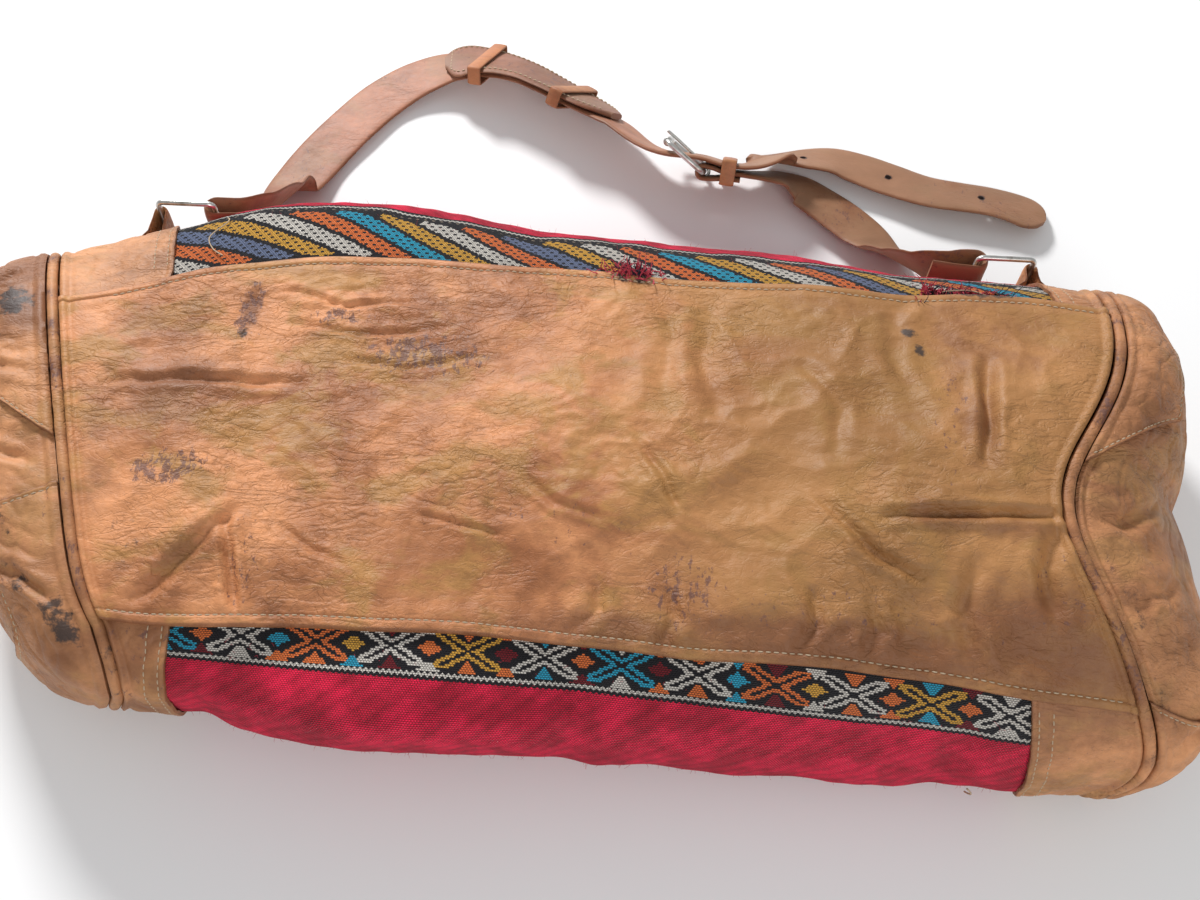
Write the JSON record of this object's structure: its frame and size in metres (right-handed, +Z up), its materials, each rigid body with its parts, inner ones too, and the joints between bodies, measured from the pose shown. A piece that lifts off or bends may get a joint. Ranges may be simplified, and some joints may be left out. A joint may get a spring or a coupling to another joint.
{
  "type": "kilim duffle bag",
  "caption": "Empty, slumped duffle bag with a leather base panel, woven kilim sides, a zip and a long leather shoulder strap with a buckle and pad.",
  "frame": {"origin": "On the flat underside of the front top strip, beside the zip, where the bag rests on the surface", "axes": "+X along the bag towards its right end, +Y towards the side where the shoulder strap lies, +Z up from the surface to the base panel, which faces up"},
  "size_m": [0.7238, 0.5589, 0.1384],
  "materials": {
    "tan_leather": "waxed, worn, soft gloss",
    "end_leather": "waxed, worn",
    "strap_leather": "suede-like, matte",
    "keeper_leather": "smooth",
    "red_kilim": "woven wool, matte, fuzzy",
    "zip_cloth": "woven tape",
    "nickel": "nickel plated, polished"
  },
  "bodies": {
    "bag_body": {"base_panel": "tan_leather", "front_kilim": "red_kilim", "back_kilim": "red_kilim", "front_left_corner_strip": "end_leather", "front_right_corner_strip": "end_leather", "back_left_corner_strip": "end_leather", "back_right_corner_strip": "end_leather", "front_top_strip": "end_leather", "back_top_strip": "end_leather", "left_zip_end_tab": "end_leather", "right_zip_end_tab": "end_leather", "left_end": "end_leather", "right_end": "end_leather", "left_end_back_patch": "end_leather", "left_end_front_patch": "end_leather", "right_end_back_patch": "end_leather", "right_end_front_patch": "end_leather", "left_piping": "end_leather", "right_piping": "end_leather", "left_ring_tab": "end_leather", "right_ring_tab": "end_leather", "front_zip_tape": "zip_cloth", "back_zip_tape": "zip_cloth", "front_zip_coil": "zip_cloth", "back_zip_coil": "zip_cloth", "strap_long": "strap_leather", "strap_short": "strap_leather", "shoulder_pad": "strap_leather", "left_pad_keeper": "keeper_leather", "right_pad_keeper": "keeper_leather", "strap_keeper": "keeper_leather"},
    "left_ring_body": {"left_ring": "nickel"},
    "right_ring_body": {"right_ring": "nickel"},
    "buckle_frame_body": {"buckle_frame": "nickel"},
    "buckle_roller_body": {"buckle_roller": "nickel"},
    "buckle_tongue_body": {"buckle_tongue": "nickel"},
    "zip_slider_body": {"zip_slider": "nickel"},
    "zip_pull_body": {"zip_pull": "nickel"}
  },
  "joints": [
    {"name": "left_ring_swing", "type": "hinge", "parent": "bag_body", "child": "left_ring_body", "pos_m": [-0.287, 0.18823, 0.046], "axis": [0, 0, 1], "range_deg": [0, 7]},
    {"name": "right_ring_swing", "type": "hinge", "parent": "bag_body", "child": "right_ring_body", "pos_m": [0.271, 0.17452, 0.046], "axis": [0, 0, 1], "range_deg": [-7, 0]},
    {"name": "buckle_frame_hinge", "type": "hinge", "parent": "bag_body", "child": "buckle_frame_body", "pos_m": [0.0657, 0.279, 0.0215], "axis": [-0.0984, -0.7002, 0.7071], "range_deg": [-3, 1]},
    {"name": "buckle_roller_spin", "type": "hinge", "parent": "buckle_frame_body", "child": "buckle_roller_body", "pos_m": [0.0405, 0.29465, 0.03349], "axis": [-0.0984, -0.7002, 0.7071], "continuous": true},
    {"name": "buckle_tongue_hinge", "type": "hinge", "parent": "buckle_frame_body", "child": "buckle_tongue_body", "pos_m": [0.0657, 0.279, 0.0215], "axis": [-0.0984, -0.7002, 0.7071], "range_deg": [-4, 0]},
    {"name": "zip_slider_slide", "type": "slide", "parent": "bag_body", "child": "zip_slider_body", "axis": [1, 0, 0], "range_m": [-0.42, 0]},
    {"name": "zip_pull_hinge", "type": "hinge", "parent": "zip_slider_body", "child": "zip_pull_body", "pos_m": [0.222, 0.034, 0.0066], "axis": [0, 1, 0], "range_deg": [-115, 10]}
  ]
}
